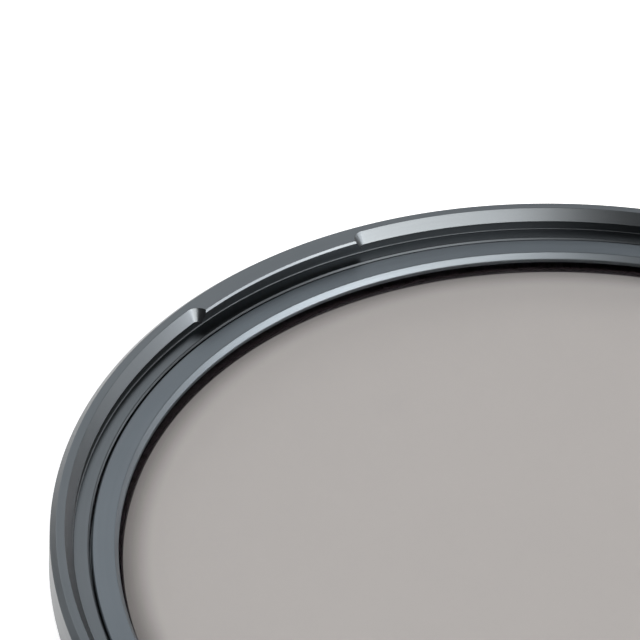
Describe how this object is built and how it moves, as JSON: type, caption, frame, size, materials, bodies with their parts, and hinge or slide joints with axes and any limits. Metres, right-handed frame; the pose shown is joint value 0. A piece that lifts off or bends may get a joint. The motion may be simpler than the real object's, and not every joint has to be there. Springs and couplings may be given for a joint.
{
  "type": "screw-in lens filter",
  "caption": "Slim screw-in lens filter: dark anodised ring with a rear thread, overhanging front lips with bevelled gaps, a retaining ring and flat neutral-grey glass.",
  "frame": {"origin": "on the optical axis, in the plane of the rear end of the thread that the filter stands on", "axes": "+Z along the optical axis towards the front of the filter, X and Y across it"},
  "size_m": [0.08, 0.08, 0.0057],
  "materials": {
    "anodised_frame": "satin dark anodised, turned",
    "anodised_retainer": "satin dark anodised, turned",
    "grey_glass": "polished neutral-grey glass with an anti-reflection coating"
  },
  "bodies": {
    "root": {"frame_ring": "anodised_frame", "retaining_ring": "anodised_retainer", "filter_glass": "grey_glass"}
  },
  "joints": []
}
